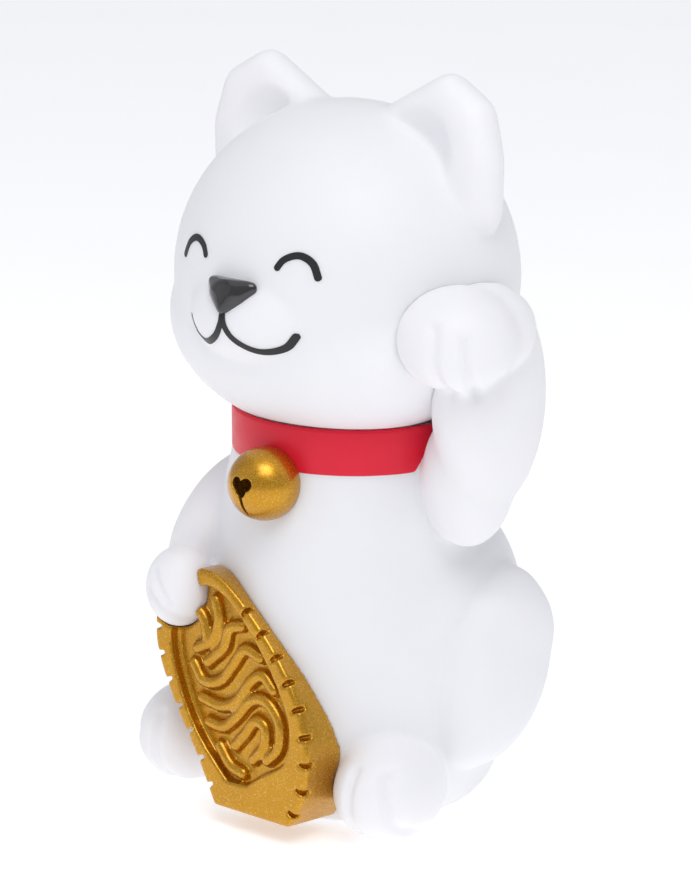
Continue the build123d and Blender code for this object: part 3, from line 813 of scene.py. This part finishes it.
def cordForm(points, radius, y, count=40):
    # a round-ended bead along a smooth line
    line = smoothLine(points, count)
    deselectAll()
    bpy.ops.curve.primitive_bezier_curve_add(radius=mm, location=(0, 0, 0))
    bead = bpy.context.object
    spline = bead.data.splines[0]
    spline.bezier_points.add(len(line) - 2)
    for knot, (x, z) in zip(spline.bezier_points, line):
        knot.co = place(x, y, z)
        knot.handle_left_type = knot.handle_right_type = "AUTO"
    bead.data.resolution_u = 2
    bead.data.bevel_depth = radius * mm
    bead.data.bevel_resolution = 5
    bead.data.use_fill_caps = True
    bpy.ops.object.convert(target="MESH")
    bead = settle("bead")
    ends = [egg(((x, y, z), (radius, radius, radius), (0, 0, 0)), segments=24)
            for x, z in (line[0], line[-1])]
    return join([bead, *ends], "bead")


def notchCutters():
    # one slot every few millimetres, square to the outline
    line = smoothLine(coin["outline"], 400)
    run = np.concatenate([[0], np.cumsum(np.linalg.norm(np.diff(line, axis=0), axis=1))])
    cutters = []
    for far in np.arange(4.0, run[-1] - 2.0, coin["notchPitch"]):
        at = np.array([np.interp(far, run, line[:, axis]) for axis in (0, 1)])
        ahead = np.array([np.interp(far + 0.5, run, line[:, axis]) for axis in (0, 1)])
        x, z = at
        if z > 41 and -23 < x < -3:
            continue  # smooth where the paw grips
        heading = degrees(atan2(ahead[1] - z, ahead[0] - x))
        cutters.append(egg(((x, 0.9, z), coin["notch"], (0, -heading, 0)), segments=20))
    return join(cutters, "notches")


def makeCoin():
    print("modelling the coin")
    block = outlinePiece(coin["outline"], "block", 0, coin["depth"])
    modify(block, "BEVEL", width=coin["edgeRound"] * mm, segments=6, limit_method="ANGLE",
           angle_limit=radians(60))
    field = outlinePiece(coin["field"], "field", -3, coin["fieldDepth"])
    combine(block, field)
    strokeY = coin["fieldDepth"] - coin["strokeLift"]
    beads = [cordForm(points, coin["strokeRadius"], strokeY) for points in coinStrokes]
    piece = fuse([block, *beads], "ovalCoin", coin["voxel"], 3)
    combine(piece, notchCutters())
    piece.rotation_euler = (radians(-coin["lean"]), 0, 0)
    piece.location = place(0, coin["footY"], 0)
    pick(piece)
    settle("ovalCoin")
    clear = limbs["contactGap"]
    belly = turnedForm([(radius + clear, z) for radius, z in torso["profile"]], "belly")
    rests = [belly, *eggPair(limbs["foot"], clear), egg(limbs["loweredPaw"], clear),
             egg(limbs["loweredArm"], clear)]
    combine(piece, fuse(rests, "rests", 0.6, 2))
    modify(piece, "REMESH", mode="VOXEL", voxel_size=coin["voxel"] * mm)
    modify(piece, "SMOOTH", factor=0.5, iterations=5)
    return finished(piece, "cat", "coin_gold", "gold_coin", angle=60)


makeCoin()


def makeFloor():
    finish = Finish("paleFloor")
    finish.shader.inputs["Emission Strength"].default_value = studio["floorGlow"]
    clouds = finish.noise(60, 3)
    finish.wear(Base_Color=finish.mix(clouds, rgb(0.88, 0.88, 0.885), rgb(0.90, 0.90, 0.905)),
                Roughness=finish.spread(clouds, 0.3, 0.7, 0.6, 0.7),
                Emission_Color=finish.mix(clouds, rgb(0.98, 0.98, 1.0), rgb(1.0, 1.0, 1.0)))
    # seen from below, the floor is clear, so that the base shows
    tree = finish.tree
    clear = tree.nodes.new("ShaderNodeBsdfTransparent")
    under = tree.nodes.new("ShaderNodeNewGeometry")
    both = tree.nodes.new("ShaderNodeMixShader")
    tree.links.new(under.outputs["Backfacing"], both.inputs["Fac"])
    tree.links.new(finish.shader.outputs["BSDF"], both.inputs[1])
    tree.links.new(clear.outputs["BSDF"], both.inputs[2])
    tree.links.new(both.outputs["Shader"], tree.nodes["Material Output"].inputs["Surface"])
    deselectAll()
    bpy.ops.mesh.primitive_plane_add(size=6, location=(0, 0, -0.0002))
    floor = settle("studioFloor")
    floor.data.materials.append(finish.material)
    floor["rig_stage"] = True


makeFloor()

print("dressing the pieces")
slotOf = {row["node"]: row["material_slot"] for row in frame["record"]["subparts"]}
for node, piece in frame["nodes"].items():
    for materialSlot in piece.material_slots:
        materialSlot.material = finishes[slotOf[node]]
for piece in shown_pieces():
    if "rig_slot" in piece:
        piece.data.materials.clear()
        piece.data.materials.append(finishes[piece["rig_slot"]])
